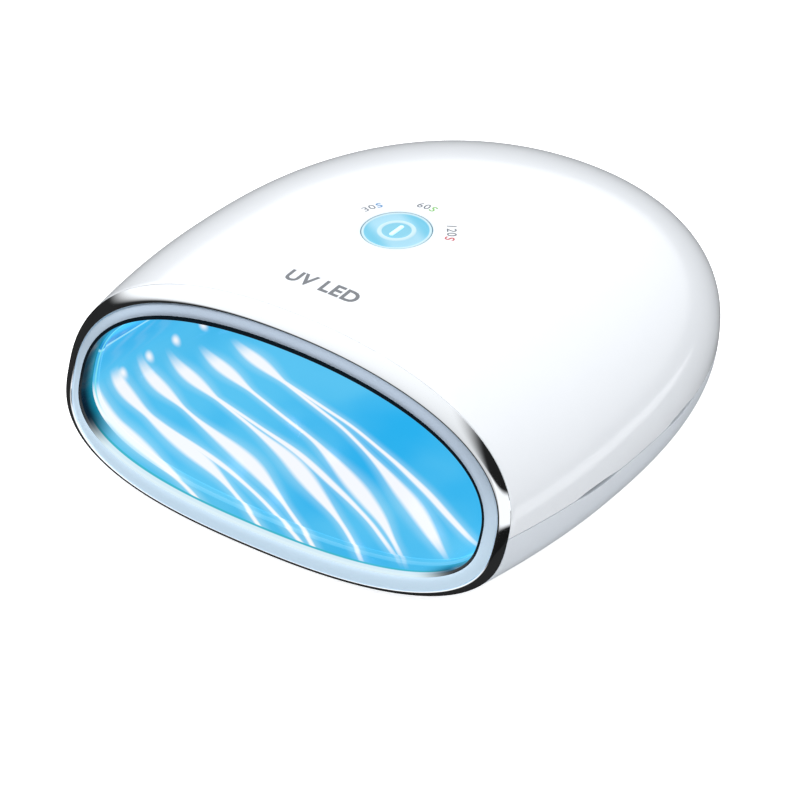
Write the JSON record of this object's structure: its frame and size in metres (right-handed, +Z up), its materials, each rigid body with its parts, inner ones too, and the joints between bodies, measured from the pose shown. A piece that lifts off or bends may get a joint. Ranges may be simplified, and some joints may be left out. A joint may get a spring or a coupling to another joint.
{
  "type": "led curing lamp",
  "caption": "Egg-shaped table lamp with a wide oval mouth, chrome ring, mirrored curing chamber and a lit push button on top.",
  "frame": {"origin": "middle of the bounding box at the plane that the feet stand on", "axes": "+Z up, +Y into the mouth towards the back, +X to the right seen from the mouth"},
  "size_m": [0.2, 0.2188, 0.0842],
  "materials": {
    "gloss_white": "polished white",
    "tray_white": "satin white",
    "ring_chrome": "bright chrome plating",
    "satin_silver": "satin silver plating on plastic",
    "clear_acrylic": "clear, lit edge",
    "reflector": "polished reflector in blue light",
    "rubber": "matt",
    "button_blue": "translucent, lit from below",
    "inner_plastic": "matt white",
    "steel": "plain",
    "black_plastic": "matt black",
    "circuit_board": "green board lacquer",
    "led_lens": "clear lens",
    "aluminium": "mill finish",
    "lead_rubber": "matt insulation"
  },
  "bodies": {
    "housing": {"top_shell": "gloss_white", "lower_tray": "tray_white", "chrome_ring": "ring_chrome", "mouth_bezel": "satin_silver", "mouth_lip": "clear_acrylic", "reflector_hood": "reflector", "reflector_pan": "reflector", "foot_front_left": "rubber", "foot_front_right": "rubber", "foot_rear_left": "rubber", "foot_rear_right": "rubber", "button_guide": "inner_plastic", "button_spring": "steel", "tactile_switch": "black_plastic", "control_board": "circuit_board", "indicator_led_30": "led_lens", "indicator_led_60": "led_lens", "indicator_led_120": "led_lens", "board_screw_1": "steel", "board_screw_2": "steel", "led_board_left": "circuit_board", "led_board_centre": "circuit_board", "led_board_right": "circuit_board", "heat_spreader": "aluminium", "curing_led_1": "led_lens", "curing_led_2": "led_lens", "curing_led_3": "led_lens", "curing_led_4": "led_lens", "curing_led_5": "led_lens", "curing_led_6": "led_lens", "curing_led_7": "led_lens", "curing_led_8": "led_lens", "curing_led_9": "led_lens", "curing_led_10": "led_lens", "curing_led_11": "led_lens", "curing_led_12": "led_lens", "power_jack": "black_plastic", "power_jack_pin": "steel", "power_lead": "lead_rubber", "lamp_lead_left": "lead_rubber", "lamp_lead_right": "lead_rubber", "housing_screw_1": "steel", "housing_screw_2": "steel", "housing_screw_3": "steel", "housing_screw_4": "steel"},
    "button": {"button_cap": "button_blue"}
  },
  "joints": [
    {"name": "button_press", "type": "slide", "parent": "housing", "child": "button", "axis": [0, 0, -1], "range_m": [0, 0.0008], "stiffness_N_per_m": 1500, "springref_m": -0.0008}
  ]
}
